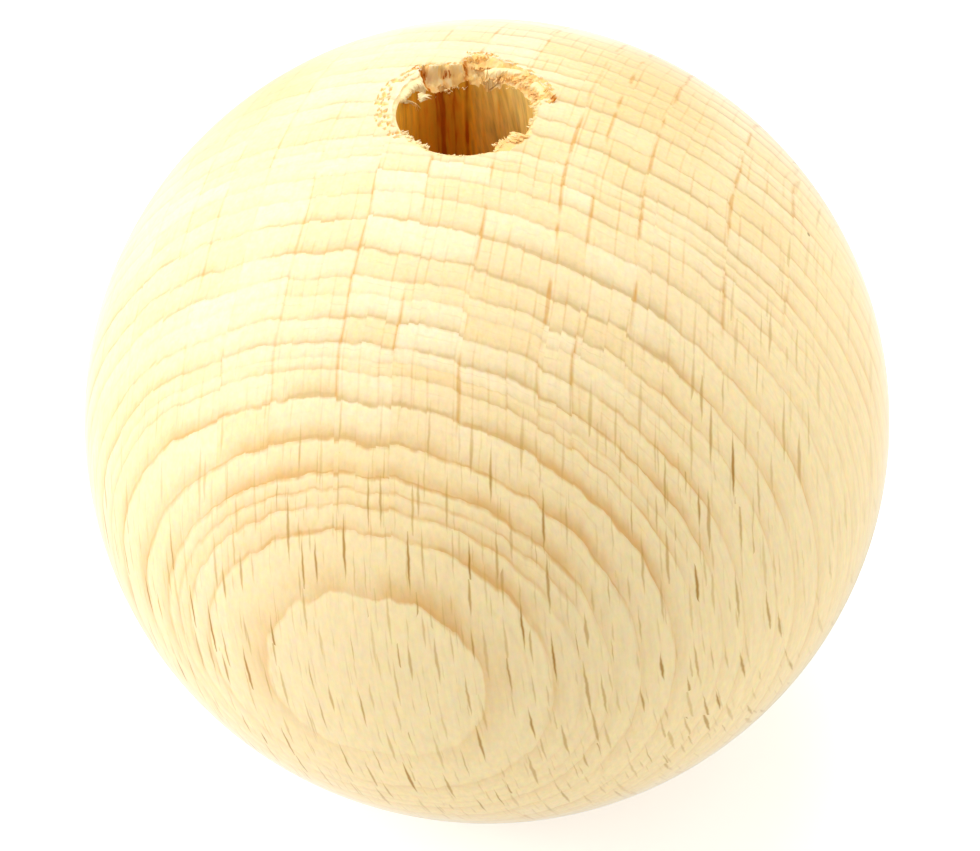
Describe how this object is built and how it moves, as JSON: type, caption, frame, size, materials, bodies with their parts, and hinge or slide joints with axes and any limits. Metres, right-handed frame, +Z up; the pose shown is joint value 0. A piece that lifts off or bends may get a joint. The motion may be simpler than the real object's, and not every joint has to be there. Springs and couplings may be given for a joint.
{
  "type": "wooden ball",
  "caption": "Turned beech ball drilled right through along its grain, with a clean lower mouth that it stands on and a torn upper one.",
  "frame": {"origin": "centre of the ball, half way along the drilled hole", "axes": "+Z up the drilled hole, which is also the way the grain runs, towards the torn mouth; -Y towards the side that shows in the picture"},
  "size_m": [0.05, 0.05, 0.0494],
  "materials": {
    "beech": "bare, fine sanded"
  },
  "bodies": {
    "root": {"ball": "beech"}
  },
  "joints": []
}
